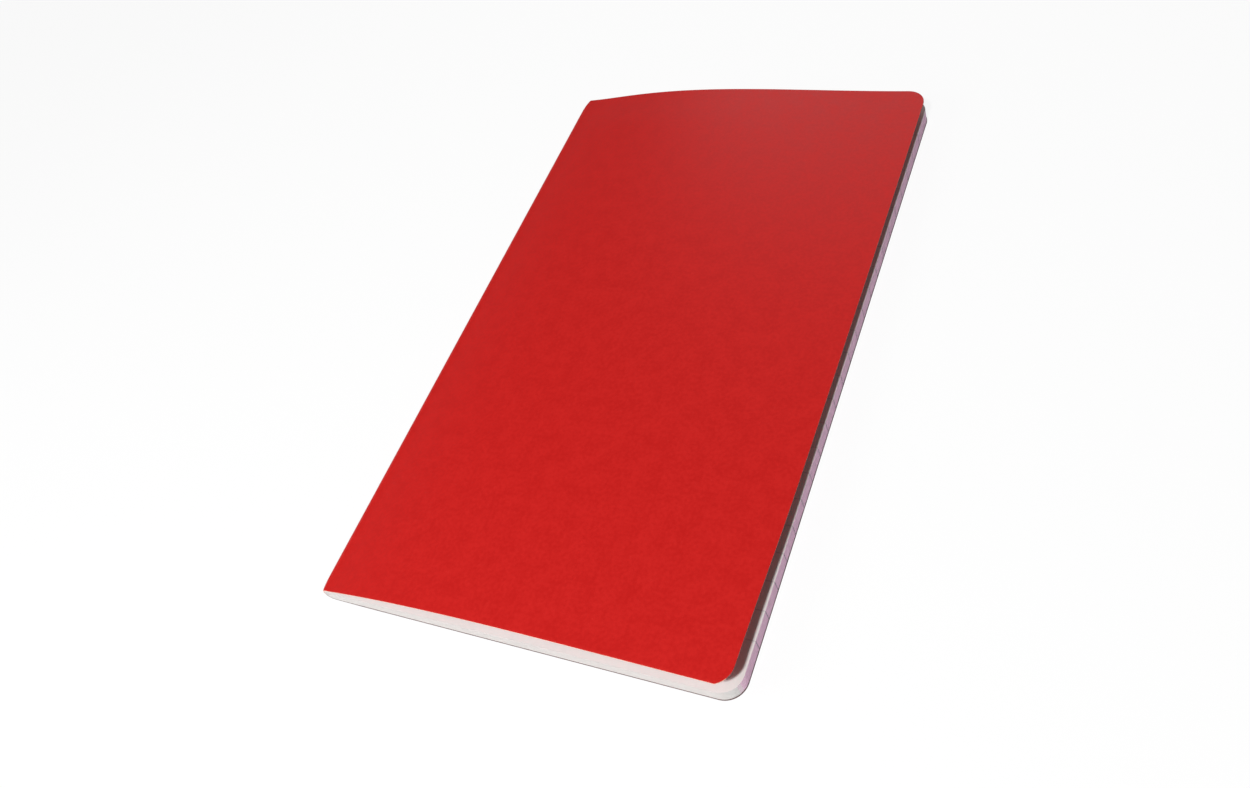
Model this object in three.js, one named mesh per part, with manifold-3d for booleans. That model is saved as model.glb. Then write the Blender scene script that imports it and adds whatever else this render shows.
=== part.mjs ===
// A ruled exercise notebook, closed and lying on its back cover. One card cover wraps sixteen folded
// sheets, nested one inside the next, and two wire staples hold them through the fold. The front
// cover is sprung open a little, as the cover of a new notebook is.
//
// Millimetres. +X runs from the spine to the fore edge, +Y from the tail to the head, +Z up.
// The origin is on the table, under the middle of the closed notebook.

import * as THREE from "three";
import { mergeVertices } from "three/addons/utils/BufferGeometryUtils.js";
import Module from "manifold-3d";

const wasm = await Module();
wasm.setup();

// Format
const WIDTH = 130; // spine to fore edge
const HEIGHT = 210; // tail to head
const CORNER_RADIUS = 6; // of the two fore-edge corners, cut through the whole closed notebook

// Stock
const SHEET_COUNT = 16; // folded sheets, two leaves each
const PAPER_THICKNESS = 0.12;
const PAPER_AIR = 0.015; // between one leaf and the next
const CARD_THICKNESS = 0.35;

// Fold
const FOLD_BORE = 0.25; // inner radius of the innermost fold, which the clinched wire keeps open
const FOLD_TAIL = 0.5; // straight paper on each side of a fold, before the leaves begin
const LEAF_SETTLE = 10; // length over which the front leaves come down onto the back ones

// Sprung front cover: how it leaves the fold, and how far its fore edge stands up
const SPRING_SLOPE = 0.213; // rise per length where the cover leaves the fold
const SPRING_END_SLOPE = 0.008; // rise per length at the fore edge
const TAIL_LIFT_HEIGHT = 6.3; // of the fore edge at the tail
const MIDDLE_LIFT_HEIGHT = 3.7; // of the fore edge halfway along
const HEAD_LIFT_HEIGHT = 3.2; // of the fore edge at the head
const COVER_DRAW_IN = 0.45; // of the fore edge, back from that of the leaves, by the arch

// Staples, of round wire
const WIRE_DIAMETER = 0.35;
const WIRE_BEND_RADIUS = 0.26; // of the wire's middle line
const CROWN_LENGTH = 13;
const CLINCH_LENGTH = 4.5;
const CROWN_PROUD = 0.1; // how far the crown stands out of the card that it is pressed into
const CLINCH_SEAT = 0.1; // from the fold's centre line out to the clinched legs
const STAPLE_SPACING = 105; // from one staple to the other
const SLIT_CLEARANCE = 0.05; // round the wire

// Facets
const FOLD_FACETS = 12;
const CORNER_FACETS = 8;
const WIRE_FACETS = 8;
const SETTLE_STEPS = 5;
const COVER_STEPS = 14;
const COVER_ROWS = 12;

// Worked out from the sizes above. Every fold is a half circle round one line, the fold's axis.
const PITCH = PAPER_THICKNESS + PAPER_AIR;
const NEST_RADIUS = FOLD_BORE + SHEET_COUNT * PITCH;
const SPINE_RADIUS = NEST_RADIUS + CARD_THICKNESS;
const AXIS_X = SPINE_RADIUS - WIDTH / 2;
const AXIS_Z = SPINE_RADIUS;
const FORE_EDGE_X = WIDTH / 2;
const CORNER_START_X = FORE_EDGE_X - CORNER_RADIUS;
const LEAF_START_X = AXIS_X + FOLD_TAIL;
const LEAF_DROP = 2 * FOLD_BORE - PAPER_AIR;

const card = new THREE.MeshStandardMaterial({ color: 0xc2201f, roughness: 0.62, metalness: 0 });
const paper = new THREE.MeshStandardMaterial({ color: 0xf1eee8, roughness: 0.85, metalness: 0 });
const wire = new THREE.MeshStandardMaterial({ color: 0xb9bbbd, roughness: 0.35, metalness: 1 });

// Solids and cuts

function asSolid(geometry) {
  const bare = geometry.clone();
  bare.deleteAttribute("normal");
  bare.deleteAttribute("uv");
  const merged = mergeVertices(bare, 1e-4);
  return new wasm.Manifold(
    new wasm.Mesh({
      numProp: 3,
      vertProperties: merged.attributes.position.array,
      triVerts: new Uint32Array(merged.index.array),
    }),
  );
}

function asGeometry(solid) {
  const mesh = solid.getMesh();
  const geometry = new THREE.BufferGeometry();
  geometry.setAttribute("position", new THREE.BufferAttribute(mesh.vertProperties, 3));
  geometry.setIndex(new THREE.BufferAttribute(mesh.triVerts, 1));
  geometry.computeVertexNormals();
  return geometry;
}

function cutAway(geometry, tools) {
  const solid = tools.reduce((rest, tool) => rest.subtract(asSolid(tool)), asSolid(geometry));
  return asGeometry(solid);
}

function boxBetween(low, high) {
  const box = new THREE.BoxGeometry(high[0] - low[0], high[1] - low[1], high[2] - low[2]);
  return box.translate((low[0] + high[0]) / 2, (low[1] + high[1]) / 2, (low[2] + high[2]) / 2);
}

// Flat and sprung panels: the leaves and the two halves of the cover

// Half of the panel's length at x, which the rounded corners shorten towards the fore edge.
function halfLengthAt(x) {
  const past = Math.max(0, x - CORNER_START_X);
  return HEIGHT / 2 - CORNER_RADIUS + Math.sqrt(Math.max(0, CORNER_RADIUS ** 2 - past ** 2));
}

function evenly(start, end, steps) {
  return Array.from({ length: steps }, (_, i) => start + ((end - start) * (i + 1)) / steps);
}

// Places across the panel where its outline or its height changes, from the fold to the fore edge.
function stationsAcross(bendEnd, bendSteps) {
  const bend = bendSteps ? evenly(LEAF_START_X, bendEnd, bendSteps) : [];
  const straight = bendEnd < CORNER_START_X ? [CORNER_START_X] : [];
  const corner = evenly(0, Math.PI / 2, CORNER_FACETS).map(
    (angle) => CORNER_START_X + CORNER_RADIUS * Math.sin(angle),
  );
  return [LEAF_START_X, ...bend, ...straight, ...corner];
}

// A panel of even thickness whose underside lies at undersideAt(x, y).
function panelGeometry(stations, rows, thickness, undersideAt) {
  const columns = stations.length - 1;
  const geometry = new THREE.BoxGeometry(1, 1, 1, columns, rows, 1);
  const place = geometry.attributes.position;
  for (let i = 0; i < place.count; i++) {
    const x = stations[Math.round((place.getX(i) + 0.5) * columns)];
    const y = 2 * place.getY(i) * halfLengthAt(x);
    const top = place.getZ(i) > 0 ? thickness : 0;
    place.setXYZ(i, x, y, undersideAt(x, y) + top);
  }
  geometry.computeVertexNormals();
  return geometry;
}

function smoothStep(share) {
  const t = Math.min(1, Math.max(0, share));
  return t * t * (3 - 2 * t);
}

function frontLeafGeometry(innerRadius) {
  const stations = stationsAcross(LEAF_START_X + LEAF_SETTLE, SETTLE_STEPS);
  return panelGeometry(stations, 1, PAPER_THICKNESS, (x) => {
    const settled = LEAF_DROP * smoothStep((x - LEAF_START_X) / LEAF_SETTLE);
    return AXIS_Z + innerRadius - settled;
  });
}

function backLeafGeometry(innerRadius) {
  const underside = AXIS_Z - innerRadius - PAPER_THICKNESS;
  return panelGeometry(stationsAcross(LEAF_START_X, 0), 1, PAPER_THICKNESS, () => underside);
}

function backCoverGeometry() {
  return panelGeometry(stationsAcross(LEAF_START_X, 0), 1, CARD_THICKNESS, () => 0);
}

// The fore edge's lift at y: a parabola through the lifts at the tail, halfway and at the head.
function foreEdgeLift(y) {
  const along = (2 * y) / HEIGHT;
  const tilt = (HEAD_LIFT_HEIGHT - TAIL_LIFT_HEIGHT) / 2;
  const bow = (HEAD_LIFT_HEIGHT + TAIL_LIFT_HEIGHT) / 2 - MIDDLE_LIFT_HEIGHT;
  return MIDDLE_LIFT_HEIGHT + tilt * along + bow * along ** 2;
}

// The cover's lift: across the panel it is a cubic with a given slope and height at both ends.
function coverLift(x, y) {
  const span = FORE_EDGE_X - LEAF_START_X;
  const t = (x - LEAF_START_X) / span;
  const leaving = (t ** 3 - 2 * t ** 2 + t) * span * SPRING_SLOPE;
  const arriving = (t ** 3 - t ** 2) * span * SPRING_END_SLOPE;
  return leaving + arriving + (3 * t ** 2 - 2 * t ** 3) * foreEdgeLift(y);
}

// The cover is cut with the leaves while it lies flat, so the arch then draws its outline back.
function frontCoverGeometry() {
  const stations = stationsAcross(CORNER_START_X, COVER_STEPS);
  const closed = AXIS_Z + NEST_RADIUS;
  const underside = (x, y) => closed + coverLift(x, y);
  const cover = panelGeometry(stations, COVER_ROWS, CARD_THICKNESS, underside);
  const reach = 1 - COVER_DRAW_IN / (FORE_EDGE_X - LEAF_START_X);
  return cover.translate(-LEAF_START_X, 0, 0).scale(reach, 1, 1).translate(LEAF_START_X, 0, 0);
}

// Folds: half rings round the fold's axis, with a short straight tail on each side

function foldGeometry(innerRadius, thickness) {
  const outerRadius = innerRadius + thickness;
  const outline = new THREE.Shape();
  outline.moveTo(FOLD_TAIL, outerRadius);
  outline.lineTo(0, outerRadius);
  outline.absarc(0, 0, outerRadius, Math.PI / 2, (3 * Math.PI) / 2, false);
  outline.lineTo(FOLD_TAIL, -outerRadius);
  outline.lineTo(FOLD_TAIL, -innerRadius);
  outline.lineTo(0, -innerRadius);
  outline.absarc(0, 0, innerRadius, (3 * Math.PI) / 2, Math.PI / 2, true);
  outline.lineTo(FOLD_TAIL, innerRadius);
  outline.closePath();
  const settings = { depth: HEIGHT, bevelEnabled: false, curveSegments: FOLD_FACETS };
  const geometry = new THREE.ExtrudeGeometry(outline, settings);
  geometry.rotateX(Math.PI / 2);
  return geometry.translate(AXIS_X, HEIGHT / 2, AXIS_Z);
}

const STAPLE_PLACES = { tail: -STAPLE_SPACING / 2, head: STAPLE_SPACING / 2 };
const LEG_OFFSET = (CROWN_LENGTH - WIRE_DIAMETER) / 2; // from a staple's middle to a leg's
const CROWN_X = AXIS_X - SPINE_RADIUS - CROWN_PROUD;
const SLIT_HALF = WIRE_DIAMETER / 2 + SLIT_CLEARANCE;

// Slits for the four legs, cut through every fold.
function legSlits() {
  return Object.values(STAPLE_PLACES).flatMap((middle) =>
    [-LEG_OFFSET, LEG_OFFSET].map((offset) => {
      const y = middle + offset;
      const low = [CROWN_X - WIRE_DIAMETER, y - SLIT_HALF, AXIS_Z - SLIT_HALF];
      const high = [AXIS_X, y + SLIT_HALF, AXIS_Z + SLIT_HALF];
      return boxBetween(low, high);
    }),
  );
}

// Grooves that the two crowns are pressed into, on the outside of the cover.
function crownGrooves() {
  const half = CROWN_LENGTH / 2 + SLIT_CLEARANCE;
  const floor = CROWN_X + WIRE_DIAMETER + SLIT_CLEARANCE / 2;
  return Object.values(STAPLE_PLACES).map((middle) => {
    const low = [CROWN_X - WIRE_DIAMETER, middle - half, AXIS_Z - SLIT_HALF];
    const high = [floor, middle + half, AXIS_Z + SLIT_HALF];
    return boxBetween(low, high);
  });
}

function sheetFoldGeometry(innerRadius) {
  return cutAway(foldGeometry(innerRadius, PAPER_THICKNESS), legSlits());
}

function coverSpineGeometry() {
  return cutAway(foldGeometry(NEST_RADIUS, CARD_THICKNESS), [...legSlits(), ...crownGrooves()]);
}

// The wire's middle line seen along Z, from one clinched end to the other: the crown lies outside
// the cover, two legs pass through the fold, and their ends turn towards each other inside it.
function stapleLine() {
  const bend = WIRE_BEND_RADIUS;
  const crown = CROWN_X - AXIS_X + WIRE_DIAMETER / 2;
  const clinch = WIRE_DIAMETER / 2 - CLINCH_SEAT;
  const end = CROWN_LENGTH / 2 - CLINCH_LENGTH;
  const turn = LEG_OFFSET - bend;
  const line = new THREE.Path();
  line.moveTo(clinch, end);
  line.lineTo(clinch, turn);
  line.absarc(clinch - bend, turn, bend, 0, Math.PI / 2, false);
  line.lineTo(crown + bend, LEG_OFFSET);
  line.absarc(crown + bend, turn, bend, Math.PI / 2, Math.PI, false);
  line.lineTo(crown, -turn);
  line.absarc(crown + bend, -turn, bend, Math.PI, 1.5 * Math.PI, false);
  line.lineTo(clinch - bend, -LEG_OFFSET);
  line.absarc(clinch - bend, -turn, bend, 1.5 * Math.PI, 2 * Math.PI, false);
  line.lineTo(clinch, -end);
  return line.getPoints(2);
}

// A cylinder whose rings are set along that line, each square to the wire.
function stapleGeometry(middle) {
  const line = stapleLine();
  const last = line.length - 1;
  const radius = WIRE_DIAMETER / 2;
  const geometry = new THREE.CylinderGeometry(radius, radius, 1, WIRE_FACETS, last);
  const place = geometry.attributes.position;
  for (let i = 0; i < place.count; i++) {
    const ring = Math.round((place.getY(i) + 0.5) * last);
    const before = line[Math.max(0, ring - 1)];
    const after = line[Math.min(last, ring + 1)];
    const along = after.clone().sub(before).normalize();
    const out = place.getX(i);
    const x = line[ring].x + out * along.y;
    const y = line[ring].y - out * along.x;
    place.setXYZ(i, x, y, place.getZ(i));
  }
  geometry.computeVertexNormals();
  return geometry.translate(AXIS_X, middle, AXIS_Z);
}

// Assembly

const notebook = new THREE.Group();

function addPiece(name, geometry, material) {
  const mesh = new THREE.Mesh(geometry, material);
  mesh.name = name;
  notebook.add(mesh);
}

addPiece("back_cover", backCoverGeometry(), card);
addPiece("cover_spine", coverSpineGeometry(), card);
addPiece("front_cover", frontCoverGeometry(), card);

// Sheet 01 is the innermost, with the centre spread on it.
for (let i = 0; i < SHEET_COUNT; i++) {
  const sheet = "sheet_" + String(i + 1).padStart(2, "0");
  const innerRadius = FOLD_BORE + i * PITCH;
  addPiece(sheet + "_front_leaf", frontLeafGeometry(innerRadius), paper);
  addPiece(sheet + "_fold", sheetFoldGeometry(innerRadius), paper);
  addPiece(sheet + "_back_leaf", backLeafGeometry(innerRadius), paper);
}

for (const [end, middle] of Object.entries(STAPLE_PLACES)) {
  addPiece("staple_" + end, stapleGeometry(middle), wire);
}

export default notebook;
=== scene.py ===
# %% [markdown]
# # A stitched notebook in red card
#
# The object is a slim exercise notebook, closed and lying on its back cover. One sheet of red card
# is wrapped round sixteen folded sheets of ruled paper, two wire staples hold everything through
# the fold, and the two fore-edge corners are cut round. The front cover is still springy, so it
# stands a little open.
#
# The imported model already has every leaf, fold and staple at its true place. This script dresses
# it: it keeps the solids whose form is right, rebuilds the ones that bend or that need a finer
# surface, and gives each of them a finish. Everything is in metres, +X runs from the spine to the
# fore edge, +Y from the tail to the head and +Z up.

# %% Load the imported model
import math

import bmesh
import bpy
import numpy as np
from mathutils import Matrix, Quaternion, Vector


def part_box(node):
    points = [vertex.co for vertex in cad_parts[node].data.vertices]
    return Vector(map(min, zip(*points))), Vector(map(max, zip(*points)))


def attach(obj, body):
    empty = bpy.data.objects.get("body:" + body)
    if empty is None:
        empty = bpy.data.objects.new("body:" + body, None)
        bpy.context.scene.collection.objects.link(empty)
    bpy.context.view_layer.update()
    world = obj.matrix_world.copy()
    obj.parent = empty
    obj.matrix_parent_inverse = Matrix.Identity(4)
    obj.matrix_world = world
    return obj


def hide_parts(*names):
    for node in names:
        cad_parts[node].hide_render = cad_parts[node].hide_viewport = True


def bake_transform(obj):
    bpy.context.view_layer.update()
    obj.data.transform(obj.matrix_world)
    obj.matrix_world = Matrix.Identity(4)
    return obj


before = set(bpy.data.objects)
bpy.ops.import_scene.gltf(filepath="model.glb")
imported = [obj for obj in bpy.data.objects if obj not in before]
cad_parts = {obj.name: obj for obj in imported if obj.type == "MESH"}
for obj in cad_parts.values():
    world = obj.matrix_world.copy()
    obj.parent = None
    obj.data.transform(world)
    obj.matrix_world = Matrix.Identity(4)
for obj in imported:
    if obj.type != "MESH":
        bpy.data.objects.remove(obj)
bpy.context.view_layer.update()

# %% [markdown]
# ## Camera
#
# The notebook is seen from above its tail and fore edge, with the camera turned on its side by
# more than a quarter of a right angle. A camera can be placed by hand until the picture looks
# right, but here its place, aim, roll and lens come from matching the straight edges and the
# corners of the notebook.

# %% Place the camera
CAMERA_PLACE = Vector((0.148951, -0.180546, 0.247794))
CAMERA_AIM = Vector((0.000343, -0.021389, 0.0))
CAMERA_ROLL = math.radians(-27.633)
CAMERA_LENS, CAMERA_SENSOR = 31.343, 36  # mm
CAMERA_NEAR = 0.01  # nothing closer to the lens than this is drawn

camera_data = bpy.data.cameras.new("camera")
camera_data.lens = CAMERA_LENS
camera_data.sensor_width = CAMERA_SENSOR
camera_data.clip_start = CAMERA_NEAR
camera = bpy.data.objects.new("camera", camera_data)
camera.location = CAMERA_PLACE
camera.rotation_mode = "QUATERNION"
level_view = (CAMERA_AIM - CAMERA_PLACE).to_track_quat("-Z", "Y")
camera.rotation_quaternion = level_view @ Quaternion((0, 0, 1), CAMERA_ROLL)
bpy.context.scene.collection.objects.link(camera)
bpy.context.scene.camera = camera
print("camera is", round((CAMERA_PLACE - CAMERA_AIM).length, 3), "m from its aim")

# %% [markdown]
# ## Sizes
#
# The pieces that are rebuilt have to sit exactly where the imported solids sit. The plain sizes are
# read from the boxes of those solids where that is possible, and the few that no box shows, such
# as the thickness of a sheet, are written out once here.

# %% Take the sizes
MM = 0.001
SHEETS = 16
PAPER = 0.12 * MM
PITCH = 0.135 * MM  # from one leaf to the next
CARD = 0.35 * MM
FOLD_BORE = 0.25 * MM  # inner radius of the innermost fold
FOLD_TAIL = 0.5 * MM  # straight paper between a fold and its leaves
CORNER = 6 * MM

back_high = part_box("back_cover")[1]
HALF_LENGTH = back_high[1]
FORE_EDGE = back_high[0]
NEST = FOLD_BORE + SHEETS * PITCH  # inner radius of the card's bend
SPINE = NEST + CARD
AXIS_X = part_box("cover_spine")[0][0] + SPINE
AXIS_Z = SPINE
print(f"spine radius {SPINE / MM:.2f} mm, bend axis at x {AXIS_X / MM:.2f} mm")

# %% [markdown]
# ## The sprung front cover
#
# New card remembers that it was flat, so the cover of a new notebook leaves the fold at a slope,
# arches over the pages and levels off towards the fore edge. It stands highest at the tail corner,
# where it was last lifted. The arch could be sculpted, but a cubic with a slope and a height at
# each end is enough, and its far height follows a parabola along the length. The head corner at the
# spine has been knocked, which pushes the cover down there. The card was cut flat, together with
# the pages, so the arch also draws its fore edge back a little from theirs, most at the tail.

# %% Describe the arch
LEAVING_SLOPE, ARRIVING_SLOPE = 0.213, 0.008
TAIL_LIFT, MIDDLE_LIFT, HEAD_LIFT = 6.3 * MM, 3.7 * MM, 3.2 * MM  # at the fore edge
ARCH_START = AXIS_X + FOLD_TAIL
ARCH_SPAN = FORE_EDGE - ARCH_START
KNOCK_DEPTH = 0.6 * MM
KNOCK_REACH, KNOCK_LENGTH = 14 * MM, 18 * MM  # from the bend to its deepest; from the head
DRAW_IN, TAIL_DRAW_IN = 0.08 * MM, 0.55 * MM  # everywhere, and added towards the tail
DRAW_FROM, DRAW_OVER = 50 * MM, 45 * MM  # from the middle to its start, and how long it grows


def eased(share):
    """A share held between 0 and 1, with a soft start and end."""
    share = min(1.0, max(0.0, share))
    return share * share * (3 - 2 * share)


def over_arch(x):
    """Share of the way from the start of the arch to the fore edge."""
    return max(0.0, x - ARCH_START) / ARCH_SPAN


def fore_edge_lift(y):
    along = y / HALF_LENGTH
    tilt = (HEAD_LIFT - TAIL_LIFT) / 2
    bow = (HEAD_LIFT + TAIL_LIFT) / 2 - MIDDLE_LIFT
    return MIDDLE_LIFT + tilt * along + bow * along**2


def knocked_down(x, y):
    """How far the knock on the head corner at the spine has pushed the cover down."""
    near_head = eased(1 - (HALF_LENGTH - y) / KNOCK_LENGTH)
    away = max(0.0, x - ARCH_START - FOLD_TAIL) / KNOCK_REACH
    return KNOCK_DEPTH * near_head * away * math.exp(1 - away)


def cover_lift(x, y):
    """How far the sprung cover stands above its closed height at x, y."""
    past = x - AXIS_X
    if past < 2 * FOLD_TAIL:  # eases out of the bend without a crease
        return LEAVING_SLOPE * max(0.0, past) ** 2 / (4 * FOLD_TAIL)
    t = over_arch(x)
    leaving = (t**3 - 2 * t**2 + t) * ARCH_SPAN * LEAVING_SLOPE
    arriving = (t**3 - t**2) * ARCH_SPAN * ARRIVING_SLOPE
    lift = leaving + arriving + (3 * t**2 - 2 * t**3) * fore_edge_lift(y)
    return lift - knocked_down(x, y)


def drawn_in(x, y):
    """Where a point of the flat cover comes to lie once the cover is arched."""
    draw = DRAW_IN + TAIL_DRAW_IN * eased((-y - DRAW_FROM) / DRAW_OVER)
    return x - draw * over_arch(x)


for y in (-HALF_LENGTH, 0, HALF_LENGTH):
    print(f"fore edge at y {y / MM:.0f} mm is lifted {cover_lift(FORE_EDGE, y) / MM:.2f} mm")

# %% [markdown]
# ## Thin stock as a mesh
#
# Card and paper are cut from flat sheets, so each piece is two matching skins a thickness apart,
# joined round the cut edge. A flat grid with a Solidify modifier would do for a plain sheet. Here
# the two skins are given point by point, because bent card is compressed on one side and the
# staples dent only the outer one. The faces of the cut are marked, so that a finish can find them,
# and a small bevel along the cut takes the knife edge off.

# %% Build a sheet from two skins
SHARP_ANGLE = math.radians(50)  # where faces turn by more than this, the shading breaks
BEVEL_ANGLE = math.radians(60)  # and an edge that turns by more than this can be bevelled


def sheet_faces(columns, rows):
    """Faces of a closed sheet: those of the two skins by turns, then those of the cut."""
    size = columns * rows
    faces = []
    for column in range(columns - 1):
        for row in range(rows - 1):
            a = column * rows + row
            b = a + rows
            faces.append((a, b, b + 1, a + 1))
            faces.append((a + size, a + 1 + size, b + 1 + size, b + size))
    rim = [column * rows for column in range(columns)]
    rim += [(columns - 1) * rows + row for row in range(1, rows)]
    rim += [column * rows + rows - 1 for column in range(columns - 2, -1, -1)]
    rim += range(rows - 2, 0, -1)
    for a, b in zip(rim, rim[1:] + rim[:1]):
        faces.append((b, a, a + size, b + size))
    return faces


def make_piece(name, points, faces, cut_faces=0, bevel=0):
    """A closed piece; cut_faces counts the faces of a cut, which are the last ones."""
    mesh = bpy.data.meshes.new(name)
    mesh.from_pydata(points, [], faces)
    shape = bmesh.new()
    shape.from_mesh(mesh)
    if cut_faces:
        is_cut = shape.faces.layers.float.new("cut_face")
        for face in list(shape.faces)[-cut_faces:]:
            face[is_cut] = 1.0
    bmesh.ops.recalc_face_normals(shape, faces=shape.faces)
    if bevel:
        sharp = [e for e in shape.edges if e.calc_face_angle(0) > BEVEL_ANGLE]
        bmesh.ops.bevel(
            shape, geom=sharp, offset=bevel, segments=2, profile=0.5, affect="EDGES"
        )
    shape.to_mesh(mesh)
    shape.free()
    mesh.polygons.foreach_set("use_smooth", [True] * len(mesh.polygons))
    mesh.set_sharp_from_angle(angle=SHARP_ANGLE)
    piece = bpy.data.objects.new(name, mesh)
    bpy.context.scene.collection.objects.link(piece)
    print(name, "has", len(mesh.polygons), "faces")
    return piece


def make_sheet(name, outer, inner, bevel=0):
    """A closed sheet between two grids of points, each columns x rows x 3."""
    columns, rows = outer.shape[:2]
    points = np.concatenate([outer.reshape(-1, 3), inner.reshape(-1, 3)])
    cut_faces = 2 * (columns + rows - 2)
    return make_piece(name, points.tolist(), sheet_faces(columns, rows), cut_faces, bevel)


# %% [markdown]
# ## The wrap-round cover
#
# On the real notebook the front, the spine and the back are one piece of card, so they are one
# mesh here. Seen from the tail it is a long C: along the front from the fore edge, round the bend,
# and along the back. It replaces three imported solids. The rows close up near each staple, where
# the crown has pressed a shallow dent into the card. The two ends of the bend take every knock, so
# they are pressed a little flatter than the rest, card and folds together. The leaves have crept
# back a little from the back cover, which leaves it just proud of them all round.

# %% Lay out the cover's rows and columns
STAPLE_PLACES = (-52.5 * MM, 52.5 * MM)
CROWN_LENGTH = 13 * MM
FRONT_STEPS, BEND_STEPS, BACK_STEPS = 60, 40, 40
CORNER_STEPS = 26
EVEN_ROWS = 71
STAPLE_ROWS, STAPLE_REACH = 25, 0.62 * CROWN_LENGTH  # closer rows, to either side of its middle
END_ROWS = (0.25, 0.6, 1.0, 1.5, 2.1, 2.9, 4.0, 5.5)  # mm inwards from the tail and the head
ROW_DIGITS, ROW_GAP = 6, 2e-4  # of a row's share: its rounding, and the least step to the next


def half_length_at(x, slip=0.0):
    """Half of the length at x; a corner cut that slips outwards leaves a small point."""
    past = max(0.0, x - (FORE_EDGE - CORNER))
    reach = HALF_LENGTH - CORNER + slip + math.sqrt(max(0.0, CORNER**2 - past**2))
    return min(HALF_LENGTH, reach)


def across(start, steps):
    """Places from start to the fore edge, with a fine step round the corner."""
    plain = np.linspace(start, FORE_EDGE - CORNER, steps + 1)
    turn = np.linspace(0, math.pi / 2, CORNER_STEPS + 1)[1:]
    return np.concatenate([plain, FORE_EDGE - CORNER + CORNER * np.sin(turn)])


def along_rows():
    """Shares of the half length from tail to head, closer together at staples and ends."""
    shares = set(np.round(np.linspace(-1, 1, EVEN_ROWS), ROW_DIGITS))
    for place in STAPLE_PLACES:
        fine = np.linspace(place - STAPLE_REACH, place + STAPLE_REACH, STAPLE_ROWS)
        shares |= set(np.round(fine / HALF_LENGTH, ROW_DIGITS))
    for inward in END_ROWS:
        share = round(1 - inward * MM / HALF_LENGTH, ROW_DIGITS)
        shares |= {share, -share}
    ordered = sorted(shares)
    return [s for i, s in enumerate(ordered) if i == 0 or s - ordered[i - 1] > ROW_GAP]


cover_rows = along_rows()
front_places = across(AXIS_X, FRONT_STEPS)
back_places = across(AXIS_X, BACK_STEPS)
print(len(cover_rows), "rows,", len(front_places), "columns on the front")

# %% Shape the cover
DENT_DEPTH = 0.11 * MM  # under a crown
DENT_REACH, DENT_FADE = 0.42 * MM, 0.8 * MM  # round the bend, and past the crown's ends
TAIL_PRESS, HEAD_PRESS = 0.32, 0.62  # shares of its depth that the bend has lost at its ends
END_REACH = 5.5 * MM  # how far in from its ends the bend is pressed
CORNER_SLIP = 0.6 * MM  # of the front cover's cut at the tail
COVER_SKEW = 0.3 * MM  # the sprung cover's fore edge has slid this far towards the tail
BACK_PROUD = 0.1 * MM  # how far the back cover stands out past the leaves
PROUD_AFTER = 1 / 12  # share of the back's width that its ends take to stand out so far
CARD_BEVEL = 0.05 * MM


def bend_depth(y):
    """Share of its full depth that the bend keeps at y."""
    outward = max(0.0, 1 - (HALF_LENGTH - abs(y)) / END_REACH)
    press = HEAD_PRESS if y > 0 else TAIL_PRESS
    return 1 - press * (1 - math.sqrt(max(0.0, 1 - outward**2)))


def crown_dent(arc, y):
    """How deep the nearest crown has pressed the card, arc being the way round from it."""
    past_crown = min(abs(y - place) for place in STAPLE_PLACES) - CROWN_LENGTH / 2
    return DENT_DEPTH * math.exp(-((arc / DENT_REACH) ** 2)) * eased(1 - past_crown / DENT_FADE)


def cover_skin(radius, dented):
    """One skin of the card, at this radius round the bend."""
    columns = []
    for x in reversed(front_places):
        tail, head = half_length_at(x, CORNER_SLIP), half_length_at(x)
        slid = COVER_SKEW * over_arch(x)
        ys = [s * (tail if s < 0 else head) - slid for s in cover_rows]
        columns.append([(drawn_in(x, y), y, AXIS_Z + radius + cover_lift(x, y)) for y in ys])
    for step in range(1, BEND_STEPS):
        turn = math.pi * step / BEND_STEPS
        column = []
        for share in cover_rows:
            y = share * HALF_LENGTH
            dent = crown_dent((turn - math.pi / 2) * radius, y) if dented else 0
            reach = radius - dent
            x, z = -reach * math.sin(turn) * bend_depth(y), reach * math.cos(turn)
            column.append((AXIS_X + x, y, AXIS_Z + z))
        columns.append(column)
    for x in back_places:
        from_bend = (x - AXIS_X) / (FORE_EDGE - AXIS_X)
        proud = BACK_PROUD * min(1.0, from_bend / PROUD_AFTER)
        ys = [s * (half_length_at(x) + proud) for s in cover_rows]
        columns.append([(x + BACK_PROUD * from_bend, y, AXIS_Z - radius) for y in ys])
    return np.array(columns)


cover = make_sheet("card_cover", cover_skin(SPINE, True), cover_skin(NEST, False), CARD_BEVEL)
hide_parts("front_cover", "cover_spine", "back_cover")

# %% [markdown]
# ## A measure along the stock
#
# Grain belongs to the flat sheet, not to the room: when the cover bends or opens, its fibres go
# with it. So each point of the cover keeps its place on the flat card, the way round from the
# middle of the spine and the way along. The finish reads that place from an attribute. A second
# attribute gives every corner of a cut face the value 1, where the inside of the card shows. It is
# kept by corner and not by point, so that it doesn't run over into the face beside it.

# %% Note each point's place on the flat card
def place_on_stock(point):
    x, y, z = point
    if x < AXIS_X:
        turn = math.atan2(AXIS_X - x, z - AXIS_Z)
        return (SPINE * (math.pi / 2 - turn), y, 0.0)
    way = x - AXIS_X + SPINE * math.pi / 2
    return (way if z > AXIS_Z else -way, y, 0.0)


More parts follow.
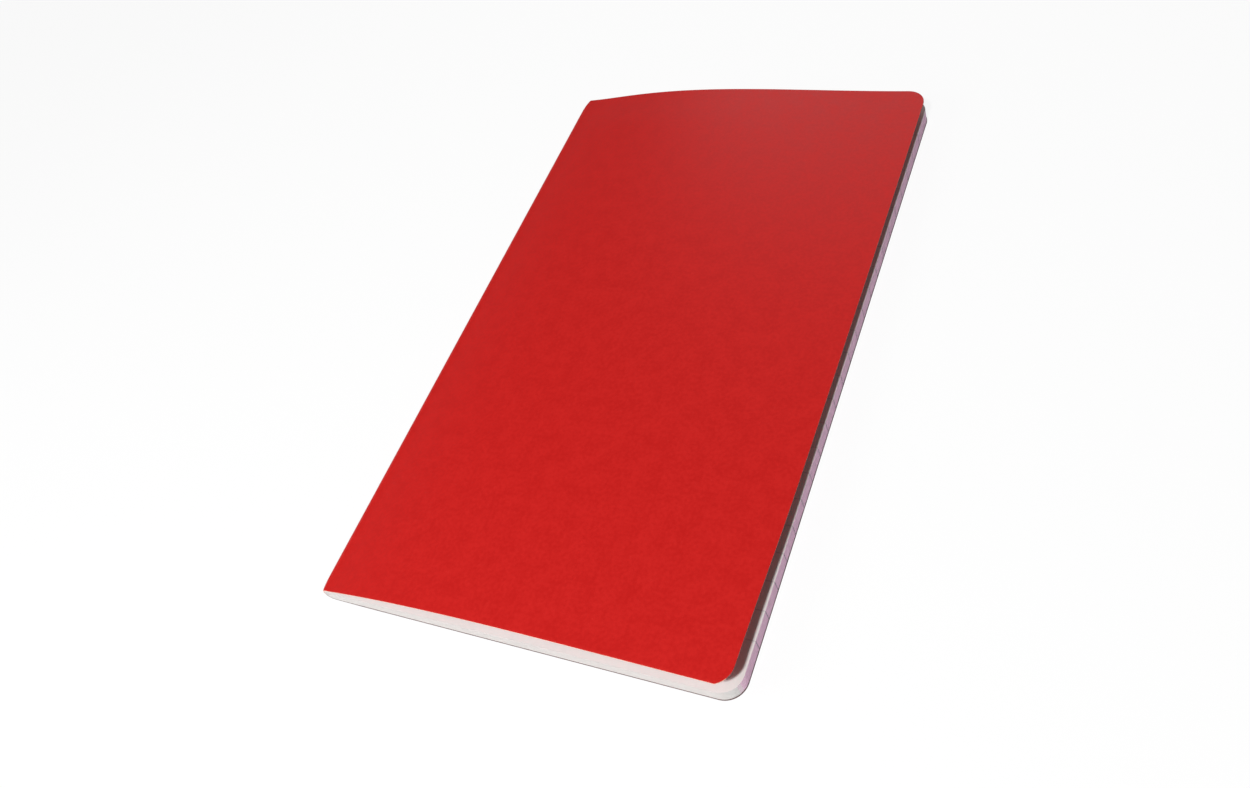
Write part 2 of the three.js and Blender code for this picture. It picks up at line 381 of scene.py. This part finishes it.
places = [c for v in cover.data.vertices for c in place_on_stock(v.co)]
stock = cover.data.attributes.new("stock_place", "FLOAT_VECTOR", "POINT")
stock.data.foreach_set("vector", places)
cut_faces = [face.value for face in cover.data.attributes["cut_face"].data]
cut_corners = [cut_faces[face.index] for face in cover.data.polygons for _ in face.vertices]
cut_edge = cover.data.attributes.new("cut_edge", "FLOAT", "CORNER")
cut_edge.data.foreach_set("value", cut_corners)
print("card is", round((max(places[0::3]) - min(places[0::3])) / MM, 1), "mm across when flat")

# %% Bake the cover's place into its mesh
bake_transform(cover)
print(f"cover bends between z {(AXIS_Z - NEST) / MM:.2f} and {(AXIS_Z + NEST) / MM:.2f} mm")

# %% [markdown]
# ## The folds of the sheets
#
# Each folded sheet turns round the one inside it, so at the tail and the head of the spine the
# paper shows as a nest of half rings. The imported half rings are right when the notebook is closed.
# These ones have more steps, and each turns between its own front leaf and the back of the
# notebook.

# %% Nest the folds
FOLD_STEPS = 24  # round the half ring
FOLD_END_ROWS = 8  # closer rows towards each end, where the bend is pressed flatter


def fold_skin(radius):
    """One skin of a fold, from its front leaf round to its back leaf."""
    ends = HALF_LENGTH - END_REACH * (1 - np.sin(np.linspace(0, math.pi / 2, FOLD_END_ROWS)))
    ys = [-y for y in reversed(ends)] + [0.0] + list(ends)
    columns = [[(AXIS_X + FOLD_TAIL, y, AXIS_Z + radius) for y in ys]]
    for step in range(FOLD_STEPS + 1):
        turn = math.pi * step / FOLD_STEPS
        out, z = radius * math.sin(turn), AXIS_Z + radius * math.cos(turn)
        columns.append([(AXIS_X - out * bend_depth(y), y, z) for y in ys])
    columns.append([(AXIS_X + FOLD_TAIL, y, AXIS_Z - radius) for y in ys])
    return np.array(columns)


folds = []
for number in range(1, SHEETS + 1):
    inner = FOLD_BORE + (number - 1) * PITCH
    fold = make_sheet(f"paper_fold_{number:02d}", fold_skin(inner + PAPER), fold_skin(inner))
    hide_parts(f"sheet_{number:02d}_fold")
    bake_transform(fold)
    folds.append(fold)

# %% [markdown]
# ## The staples
#
# A stitching head cuts a length of round wire, bends it to a U, drives the legs through the spine
# and turns their ends in. The crown lies in the card and the ends curl down onto the centre
# spread. A curve object with a round bevel would give the wire, but the ends of such a tube are
# plain round discs. Here rings are set along the line one by one, so each end can be squeezed to
# the blunt wedge that pliers leave.

# %% Find the line of the wire
WIRE = 0.35 * MM
CROWN_PROUD = 0.1 * MM  # how far the crown stands out of the card
CLINCH = 4.5 * MM  # length of a turned-in end
CLINCH_SEAT = 0.1 * MM  # how far it lies in the paper
WIRE_BEND = 0.26 * MM  # radius of the wire's middle line
CROWN_POINTS = 8  # on one half of the crown
WIRE_BEND_STEPS, CLINCH_STEPS = 8, 8


def staple_line():
    """The wire's middle line from the staple's middle, as (out from the axis, along)."""
    crown = -SPINE - CROWN_PROUD + WIRE / 2
    clinch = WIRE / 2 - CLINCH_SEAT
    turn = CROWN_LENGTH / 2 - WIRE / 2 - WIRE_BEND
    quarter = np.linspace(0, math.pi / 2, WIRE_BEND_STEPS + 1)
    half = [(crown, y) for y in np.linspace(0, turn, CROWN_POINTS)]
    for level, inward, angles in ((crown, 1, quarter[1:]), (clinch, -1, quarter[::-1])):
        for angle in angles:
            rise = inward * WIRE_BEND * (1 - math.cos(angle))
            half.append((level + rise, turn + WIRE_BEND * math.sin(angle)))
    end = CROWN_LENGTH / 2 - CLINCH
    for share in np.linspace(0, 1, CLINCH_STEPS + 1)[1:]:
        half.append((clinch, turn + (end - turn) * share))
    return [(x, -y) for x, y in reversed(half[1:])] + half


wire_line = staple_line()
wire_length = sum(math.dist(a, b) for a, b in zip(wire_line, wire_line[1:]))
print(f"each staple takes {wire_length / MM:.1f} mm of wire")

# %% Bend the wire
WIRE_SIDES = 20
END_SQUEEZE = (0.45, 0.8)  # share of the wire's thickness left at its last ring and the one before


def wire_ring(line, i, middle):
    """One ring of the wire, square to its line, and squeezed at the two cut ends."""
    before, after = line[max(0, i - 1)], line[min(len(line) - 1, i + 1)]
    along = Vector((after[0] - before[0], after[1] - before[1])).normalized()
    from_end = min(i, len(line) - 1 - i)
    squeeze = END_SQUEEZE[from_end] if from_end < len(END_SQUEEZE) else 1.0
    ring = []
    for k in range(WIRE_SIDES):
        angle = 2 * math.pi * k / WIRE_SIDES
        out = WIRE / 2 * math.cos(angle) * squeeze
        x, y = line[i][0] + out * along.y, line[i][1] - out * along.x
        ring.append((AXIS_X + x, middle + y, AXIS_Z + WIRE / 2 * math.sin(angle)))
    return ring


def make_staple(name, line, middle):
    """A wire with a ring at each point of the line, and a flat face on either end."""
    points = [p for i in range(len(line)) for p in wire_ring(line, i, middle)]
    faces = []
    for i in range(len(line) - 1):
        for k in range(WIRE_SIDES):
            a, b = i * WIRE_SIDES + k, i * WIRE_SIDES + (k + 1) % WIRE_SIDES
            faces.append((a, b, b + WIRE_SIDES, a + WIRE_SIDES))
    last = (len(line) - 1) * WIRE_SIDES
    faces.append(tuple(range(WIRE_SIDES)))
    faces.append(tuple(range(last, last + WIRE_SIDES)))
    return make_piece(name, points, faces)


staples = []
for end, middle in zip(("tail", "head"), STAPLE_PLACES):
    staple = make_staple(f"wire_staple_{end}", wire_line, middle)
    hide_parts(f"staple_{end}")
    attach(staple, "spine")
    staples.append(staple)

# %% [markdown]
# ## Nodes by the handful
#
# A finish is a tree of many small nodes, and most of them only add, compare or mix. They could be
# set up by hand in the node editor. In a script, a short word for each kind of node keeps a finish
# readable. Nearly all of these words take plain values or the outputs of earlier nodes, and give
# back their own output.

# %% Name the nodes that the finishes use
FLOAT, VECTOR = "NodeSocketFloat", "NodeSocketVector"
MIX_SHARE, MIX_A, MIX_B, MIX_RESULT = 0, 6, 7, 2  # a Mix node's sockets when it mixes colours


def new_group(name, inputs, outputs):
    """An empty group with sockets given as (name, type, value) and (name, type)."""
    group = bpy.data.node_groups.new(name, "ShaderNodeTree")
    for label, kind, value in inputs:
        socket = group.interface.new_socket(name=label, in_out="INPUT", socket_type=kind)
        if value is not None:
            socket.default_value = value
    for label, kind in outputs:
        group.interface.new_socket(name=label, in_out="OUTPUT", socket_type=kind)
    return group


class Wiring:
    """Short ways to add nodes to one tree and join them."""

    def __init__(self, tree):
        self.tree = tree

    def feed(self, node, values):
        """Give some of a node's inputs a plain value or the output of another node."""
        for label, value in values.items():
            if isinstance(value, bpy.types.NodeSocket):
                self.tree.links.new(value, node.inputs[label])
            else:
                node.inputs[label].default_value = value

    def add(self, kind, values=None, **settings):
        node = self.tree.nodes.new("ShaderNode" + kind)
        for key, setting in settings.items():
            setattr(node, key, setting)
        self.feed(node, values or {})
        return node

    def math(self, operation, *values):
        return self.add("Math", dict(enumerate(values)), operation=operation).outputs[0]

    def spread(self, value, low, high, to_low=0.0, to_high=1.0, smooth=True):
        """value from low..high carried to to_low..to_high, and held there past both ends."""
        kind = "SMOOTHSTEP" if smooth else "LINEAR"
        values = {"Value": value, "From Min": low, "From Max": high}
        values |= {"To Min": to_low, "To Max": to_high}
        return self.add("MapRange", values, interpolation_type=kind).outputs[0]

    def noise(self, place, scale, detail=2.0, distortion=0.0):
        values = {"Vector": place, "Scale": scale, "Detail": detail, "Distortion": distortion}
        return self.add("TexNoise", values).outputs["Fac"]

    def split(self, vector):
        """The three parts of a vector, by the names X, Y and Z."""
        return self.add("SeparateXYZ", {0: vector}).outputs

    def mix(self, share, a, b):
        """Colour a where the share is 0 and b where it is 1."""
        values = {MIX_SHARE: share, MIX_A: a, MIX_B: b}
        return self.add("Mix", values, data_type="RGBA").outputs[MIX_RESULT]


# %% [markdown]
# ## Fibres
#
# Card and paper are both felts of wood fibre, seen at two scales: soft clouds a few millimetres
# wide, where the pulp lay thicker, and single short fibres. Both stocks use one node group. The
# clouds are two noises. A fibre is where a swirling noise passes through its middle value, which
# leaves a thin curved line, and another noise breaks the lines into short lengths. The finest
# noise is the tooth of the surface.

# %% Make the fibre group
WIDE_SCALE, WIDE_SHARE = 0.22, 0.4  # of the wide clouds, against the close ones
THIN_PULP, THICK_PULP = 0.34, 0.66  # values of the clouds' noise
SWIRL_SCALE, SWIRL, FIBRE_WIDTH = 0.35, 1.6, 0.012  # the width is in values of the noise
BREAK_SCALE, BREAK_FROM, BREAK_TO = 0.5, 0.54, 0.62
TOOTH_SCALE = 2.2

fibre_group = new_group(
    "Fibre stock",
    [("Place", VECTOR, None), ("Cloud size", FLOAT, 3 * MM), ("Fibre size", FLOAT, 0.8 * MM)],
    [("Clouds", FLOAT), ("Fibres", FLOAT), ("Tooth", FLOAT)],
)
w = Wiring(fibre_group)
given = fibre_group.nodes.new("NodeGroupInput").outputs
cloud_scale = w.math("DIVIDE", 1.0, given["Cloud size"])
fibre_scale = w.math("DIVIDE", 1.0, given["Fibre size"])


def fibre_noise(share, **character):
    """A noise whose scale is a share of one per fibre."""
    return w.noise(given["Place"], w.math("MULTIPLY", fibre_scale, share), **character)


wide = w.noise(given["Place"], w.math("MULTIPLY", cloud_scale, WIDE_SCALE), detail=3)
close = w.noise(given["Place"], cloud_scale, detail=4)
wide_part = w.math("MULTIPLY", wide, WIDE_SHARE)
clouds = w.math("ADD", wide_part, w.math("MULTIPLY", close, 1 - WIDE_SHARE))
swirl = fibre_noise(SWIRL_SCALE, detail=1, distortion=SWIRL)
off_middle = w.math("ABSOLUTE", w.math("SUBTRACT", swirl, 0.5))
line = w.spread(off_middle, 0.0, FIBRE_WIDTH, 1.0, 0.0)
broken = w.spread(fibre_noise(BREAK_SCALE), BREAK_FROM, BREAK_TO)
results = {
    "Clouds": w.spread(clouds, THIN_PULP, THICK_PULP),
    "Fibres": w.math("MULTIPLY", line, broken),
    "Tooth": fibre_noise(TOOTH_SCALE, detail=3),
}
w.feed(fibre_group.nodes.new("NodeGroupOutput"), results)
print("fibre group has", len(fibre_group.nodes), "nodes")

# %% [markdown]
# ## Red card
#
# The card has no coating, so it is nearly matt, with only a weak sheen towards a low light. The dye
# lies a little unevenly over the fibres. The cut faces carry painted light and shade: at the tail
# and the head they are painted pale and warm, a painted highlight of the lamp on the cut; along the
# fore edge they are painted dark brown, as painted shade; and the back cover's cut and rim are
# painted dark grey, a painted shadow where the notebook meets the floor. The cut faces could have a
# second material, but the attribute that marks them lets one finish colour both, and the place on
# the stock says how near the rim a point is, so the rub and the painted shadow on it can fade
# inwards.

# %% Start the card's finish
def new_material(name):
    """A new material, a way to wire it, and its shader."""
    material = bpy.data.materials.new(name)
    material.use_nodes = True
    return material, Wiring(material.node_tree), material.node_tree.nodes["Principled BSDF"]


def add_fibres(w, place, cloud_size, fibre_size):
    """The fibre group with these sizes, as its outputs."""
    values = {"Place": place, "Cloud size": cloud_size, "Fibre size": fibre_size}
    return w.add("Group", values, node_tree=fibre_group).outputs


def set_bump(w, shader, height, depth):
    """Let a height of 1 stand this deep in the surface."""
    bump = w.add("Bump", {"Strength": 1.0, "Distance": depth, "Height": height})
    w.feed(shader, {"Normal": bump.outputs["Normal"]})


card, w, shader = new_material("red card")
place = w.add("Attribute", attribute_name="stock_place").outputs["Vector"]
cut = w.add("Attribute", attribute_name="cut_edge").outputs["Fac"]
fibre = add_fibres(w, place, cloud_size=1.1 * MM, fibre_size=0.7 * MM)
print("fibre group gives", ", ".join(output.name.lower() for output in fibre))

# %% Find the way from a point of the card to its rim
CARD_HALF = FORE_EDGE - AXIS_X + SPINE * math.pi / 2  # from the spine's middle to the fore edge

parts = w.split(place)
to_fore_edge = w.math("SUBTRACT", CARD_HALF, w.math("ABSOLUTE", parts["X"]))
to_end = w.math("SUBTRACT", HALF_LENGTH, w.math("ABSOLUTE", parts["Y"]))
legs = [w.math("MAXIMUM", w.math("SUBTRACT", CORNER, way), 0.0) for way in (to_fore_edge, to_end)]
squares = [w.math("MULTIPLY", leg, leg) for leg in legs]
to_rim = w.math("SUBTRACT", CORNER, w.math("SQRT", w.math("ADD", *squares)))
at_end = w.math("LESS_THAN", to_end, to_fore_edge)
on_back = w.spread(parts["X"], -1 * MM, 0.0, 1.0, 0.0)
print("the fore edge lies", round(CARD_HALF / MM, 1), "mm from the middle of the spine")

# %% Colour the card
THIN_DYE, THICK_DYE = (0.472, 0.0068, 0.0056, 1), (0.532, 0.0098, 0.0080, 1)
FIBRE_RED, FIBRE_SHARE = (0.64, 0.035, 0.03, 1), 0.2
RUBBED_RED, RUB_SHARE, RUB_REACH = (0.66, 0.04, 0.03, 1), 0.12, 1.1 * MM
# painted shade along the fore edge's cut (dark brown), painted highlight on the cut at the tail and
# the head (pale, warm)
PAINTED_SHADE_CUT, PAINTED_LIT_CUT = (0.26, 0.085, 0.075, 1), (0.80, 0.50, 0.38, 1)
# painted shadow: the back cover's cut is dark grey, for the shadow where the notebook meets the
# floor
PAINTED_SHADOW_CUT = (0.075, 0.070, 0.068, 1)
CUT_SHARE, RIM_SHADOW_SHARE = 0.92, 0.9
RIM_SHADOW_FULL_TO, RIM_SHADOW_END = 0.08 * MM, 0.3 * MM  # in from the rim, painted shadow full and then gone
CARD_ROUGH_LOW, CARD_ROUGH_HIGH, CARD_GLOSS = 0.42, 0.50, 0.2
FIBRE_HEIGHT, CARD_RELIEF = 0.6, 0.012 * MM

dyed = w.mix(fibre["Clouds"], THIN_DYE, THICK_DYE)
fibred = w.mix(w.math("MULTIPLY", fibre["Fibres"], FIBRE_SHARE), dyed, FIBRE_RED)
rub = w.spread(to_rim, 0.0, w.math("MULTIPLY", fibre["Tooth"], RUB_REACH), 1.0, 0.0)
rubbed = w.mix(w.math("MULTIPLY", rub, RUB_SHARE), fibred, RUBBED_RED)
# the front cover's cut: painted highlight at the tail and the head, painted shade along the fore
# edge
front_cut_lit_and_shaded = w.mix(at_end, PAINTED_SHADE_CUT, PAINTED_LIT_CUT)
cut_colour = w.mix(on_back, front_cut_lit_and_shaded, PAINTED_SHADOW_CUT)
# painted shadow: a strip along the back cover's rim takes the same dark grey, fading inwards
painted_rim_shadow = w.math("MULTIPLY", w.spread(to_rim, RIM_SHADOW_FULL_TO, RIM_SHADOW_END, RIM_SHADOW_SHARE, 0.0), on_back)
shows_cut = w.math("MAXIMUM", w.math("MULTIPLY", cut, CUT_SHARE), painted_rim_shadow)
rough = w.spread(fibre["Clouds"], 0, 1, CARD_ROUGH_LOW, CARD_ROUGH_HIGH, smooth=False)
tooth = w.math("ADD", fibre["Tooth"], w.math("MULTIPLY", fibre["Fibres"], FIBRE_HEIGHT))
w.feed(shader, {"Base Color": w.mix(shows_cut, rubbed, cut_colour), "Roughness": rough})
w.feed(shader, {"Specular IOR Level": CARD_GLOSS})
set_bump(w, shader, tooth, CARD_RELIEF)
cover.data.materials.append(card)
print("red card has", len(card.node_tree.nodes), "nodes")

# %% [markdown]
# ## Ruled paper
#
# The leaves are smooth off-white writing paper, printed with pale grey lines before it is folded.
# The lines run off the paper, so each one leaves a small grey tick on the fore edge, and the ticks
# of all the leaves nearly line up. They could be painted on in a picture for each leaf, but they
# are drawn here from the place along the page, which gives the lines and the ticks together. A
# noise over the height in the stack shifts each sheet's lines a little. The trimmed fore edge is
# coloured a faint lilac, and the cuts at the tail and the head are a little warmer than the pages.

# %% Draw the ruling
RULES = 23
RULE_PITCH, RULE_WIDTH = 8.116 * MM, 0.34 * MM
RULE_FULL, RULE_GONE = 0.35 * RULE_WIDTH, 0.6 * RULE_WIDTH  # to either side of a rule's middle
FIRST_RULE = -HALF_LENGTH + 14.73 * MM
SHEET_SLIP = 0.9 * MM  # of the printed lines from one sheet to the next, at its most
SLIP_SCALE = 0.45 / PITCH

paper, w, shader = new_material("ruled paper")
coordinates = w.add("TexCoord").outputs
place = coordinates["Object"]
parts = w.split(place)
in_stack = w.add("CombineXYZ", {"Z": parts["Z"]}).outputs[0]
slip = w.math("SUBTRACT", w.noise(in_stack, SLIP_SCALE, detail=0), 0.5)
along = w.math("ADD", parts["Y"], w.math("MULTIPLY", slip, SHEET_SLIP))
count = w.math("DIVIDE", w.math("SUBTRACT", along, FIRST_RULE), RULE_PITCH)
nearest = w.math("ROUND", count)
off_rule = w.math("MULTIPLY", w.math("ABSOLUTE", w.math("SUBTRACT", count, nearest)), RULE_PITCH)
on_rule = w.spread(off_rule, RULE_FULL, RULE_GONE, 1.0, 0.0)
middle_rule = (RULES - 1) / 2
in_set = w.math("COMPARE", nearest, middle_rule, middle_rule + 0.25)
ink = w.math("MULTIPLY", on_rule, in_set)
print(RULES, "rules take", round((RULES - 1) * RULE_PITCH / MM, 1), "mm of the page")

# %% Colour the paper
THIN_PAPER, THICK_PAPER = (0.655, 0.640, 0.625, 1), (0.685, 0.670, 0.655, 1)
PAPER_FIBRE, PAPER_FIBRE_SHARE = (0.62, 0.6, 0.58, 1), 0.1
WARM_CUT, TINTED_CUT = (0.655, 0.622, 0.603, 1), (0.88, 0.56, 0.75, 1)
CUT_FROM, CUT_FULL = 0.8, 0.98  # how squarely a face looks outwards, to count as a cut
INK, PAGE_INK, TICK_INK = (0.20, 0.20, 0.24, 1), 0.28, 0.75  # its colour and two strengths
LOW_TOOTH, HIGH_TOOTH = 0.3, 0.7
PAPER_ROUGH_LOW, PAPER_ROUGH_HIGH, PAPER_GLOSS = 0.74, 0.86, 0.3
PAPER_RELIEF = 0.004 * MM

fibre = add_fibres(w, place, cloud_size=1.6 * MM, fibre_size=0.6 * MM)
facing = w.split(coordinates["Normal"])
at_fore_edge = w.spread(facing["X"], CUT_FROM, CUT_FULL)
at_end = w.spread(w.math("ABSOLUTE", facing["Y"]), CUT_FROM, CUT_FULL)
sheet = w.mix(fibre["Clouds"], THIN_PAPER, THICK_PAPER)
fibred = w.mix(w.math("MULTIPLY", fibre["Fibres"], PAPER_FIBRE_SHARE), sheet, PAPER_FIBRE)
tinted = w.mix(at_fore_edge, w.mix(at_end, fibred, WARM_CUT), TINTED_CUT)
strength = w.spread(at_fore_edge, 0, 1, PAGE_INK, TICK_INK, smooth=False)
inked = w.mix(w.math("MULTIPLY", ink, strength), tinted, INK)
rough_ends = (PAPER_ROUGH_LOW, PAPER_ROUGH_HIGH)
rough = w.spread(fibre["Tooth"], LOW_TOOTH, HIGH_TOOTH, *rough_ends, smooth=False)
w.feed(shader, {"Base Color": inked, "Roughness": rough, "Specular IOR Level": PAPER_GLOSS})
set_bump(w, shader, fibre["Tooth"], PAPER_RELIEF)

leaves = [node for name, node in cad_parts.items() if name.endswith("_leaf")]
for leaf in leaves:
    leaf.data.materials.clear()
for piece in leaves + folds:
    piece.data.materials.append(paper)
print(len(leaves), "leaves and", len(folds), "folds are of ruled paper")

# %% [markdown]
# ## Stitching wire
#
# The wire is plain drawn steel. Drawing leaves fine lines along it and a dull, slightly grey skin.
# A mirror metal would be simpler, but too bright for it, so this is a metal of middling roughness
# with a streaky noise, stretched along the staples.

# %% Make the wire's finish
STREAKS_ACROSS, STREAKS_ALONG, DULL_PATCHES = 9000, 700, 900.0  # per metre
DULL_STEEL, BRIGHT_STEEL = (0.42, 0.43, 0.44, 1), (0.60, 0.61, 0.62, 1)
LOW_STREAK, HIGH_STREAK, WIRE_SMOOTH, WIRE_ROUGH = 0.3, 0.7, 0.26, 0.44
WIRE_RELIEF = 0.003 * MM

steel, w, shader = new_material("stitching wire")
place = w.add("TexCoord").outputs["Object"]
streaks = (STREAKS_ACROSS, STREAKS_ALONG, STREAKS_ACROSS)
stretched = w.add("Mapping", {"Vector": place, "Scale": streaks}).outputs[0]
drawn = w.noise(stretched, 1.0, detail=3)
tone = w.mix(w.noise(place, DULL_PATCHES, detail=3), DULL_STEEL, BRIGHT_STEEL)
rough = w.spread(drawn, LOW_STREAK, HIGH_STREAK, WIRE_SMOOTH, WIRE_ROUGH, smooth=False)
w.feed(shader, {"Base Color": tone, "Metallic": 1.0, "Roughness": rough})
set_bump(w, shader, drawn, WIRE_RELIEF)
for staple in staples:
    staple.data.materials.append(steel)
print("stitching wire has", len(steel.node_tree.nodes), "nodes")

# %% [markdown]
# ## Stage and light
#
# Most of the light comes from one fairly small lamp above the tail. It is near enough to fall off
# along the cover, and the gap under the sprung cover stays dark, because little light comes from
# the sides. The white floor throws light back up at the cut edges. A weak lamp beside the spine
# keeps the left of the cover a little lighter than the right, and another low behind the head
# grazes the far part of the cover and gives the card its faint haze there. The camera sees floor
# and world as white, but the floor round the notebook keeps part of its shadow. Further out it is
# all white, so that no horizon shows in a low view.

# %% Lay the floor
FLOOR_HALF = 30.0
FLOOR_DROP = 0.02 * MM  # keeps the floor clear of the back cover
FLOOR_GREY, FLOOR_ROUGH, FLOOR_GLOSS = (0.87, 0.87, 0.87, 1), 0.9, 0.1
WHITE_NEAR, WHITE_FAR = 0.88, 1.0  # how far plain white covers the shaded floor
NEAR, FAR = 0.3, 1.2  # from the middle of the notebook

corners = [(-1, -1), (1, -1), (1, 1), (-1, 1)]
floor_points = [(x * FLOOR_HALF, y * FLOOR_HALF, 0) for x, y in corners]
floor_mesh = bpy.data.meshes.new("floor")
floor_mesh.from_pydata(floor_points, [], [(0, 1, 2, 3)])
floor = bpy.data.objects.new("floor", floor_mesh)
floor.location.z = -FLOOR_DROP
bpy.context.scene.collection.objects.link(floor)


def seen_directly(w):
    """1 for what the camera sees straight or through something clear, else 0."""
    path = w.add("LightPath").outputs
    return w.math("MAXIMUM", path["Is Camera Ray"], path["Is Transmission Ray"])


floor_finish, w, shader = new_material("white floor")
w.feed(shader, {"Base Color": FLOOR_GREY, "Roughness": FLOOR_ROUGH})
w.feed(shader, {"Specular IOR Level": FLOOR_GLOSS})
from_middle = w.add("VectorMath", operation="LENGTH")
w.feed(from_middle, {0: w.add("TexCoord").outputs["Object"]})
white = w.spread(from_middle.outputs["Value"], NEAR, FAR, WHITE_NEAR, WHITE_FAR)
plain = w.add("Emission", {"Strength": 1.0})
shares = {0: w.math("MULTIPLY", seen_directly(w), white), 1: shader.outputs[0], 2: plain.outputs[0]}
mixed = w.add("MixShader", shares)
w.feed(floor_finish.node_tree.nodes["Material Output"], {"Surface": mixed.outputs[0]})
floor_mesh.materials.append(floor_finish)
print("floor reaches", FLOOR_HALF, "m to each side")

# %% Light the stage
WORLD_LEVEL = 0.16
MIRRORED_LEVEL = 0.3  # what gloss on the wire and the card reflects

world = bpy.data.worlds.new("studio")
world.use_nodes = True
bpy.context.scene.world = world
w = Wiring(world.node_tree)
glossy = w.add("LightPath").outputs["Is Glossy Ray"]
unseen = w.spread(glossy, 0, 1, WORLD_LEVEL, MIRRORED_LEVEL, smooth=False)
level = w.spread(seen_directly(w), 0, 1, unseen, 1.0, smooth=False)
w.feed(world.node_tree.nodes["Background"], {"Color": (1, 1, 1, 1), "Strength": level})


def add_lamp(name, place, aim, size, power):
    """A round lamp of this size in metres and power in watts, turned to its aim."""
    data = bpy.data.lights.new(name, "AREA")
    data.shape = "DISK"
    data.size = size
    data.energy = power
    lamp = bpy.data.objects.new(name, data)
    lamp.location = place
    lamp.rotation_mode = "QUATERNION"
    lamp.rotation_quaternion = (Vector(aim) - Vector(place)).to_track_quat("-Z", "Y")
    bpy.context.scene.collection.objects.link(lamp)
    print(name, "stands", round((Vector(place) - Vector(aim)).length, 2), "m away")


add_lamp("key lamp", place=(0.07, -0.427, 0.616), aim=(0, 0, 0), size=0.07, power=4.8)
add_lamp("side lamp", place=(-0.40, -0.33, 0.37), aim=(0, 0, 0), size=0.3, power=0.9)
add_lamp("back lamp", place=(-0.11, 0.51, 0.24), aim=(0.02, 0.06, 0), size=0.26, power=0.5)

# %% [markdown]
# ## View
#
# The colours above are meant as they are written, so the view adds no film look of its own.

# %% Set the view
bpy.context.scene.view_settings.view_transform = "Standard"
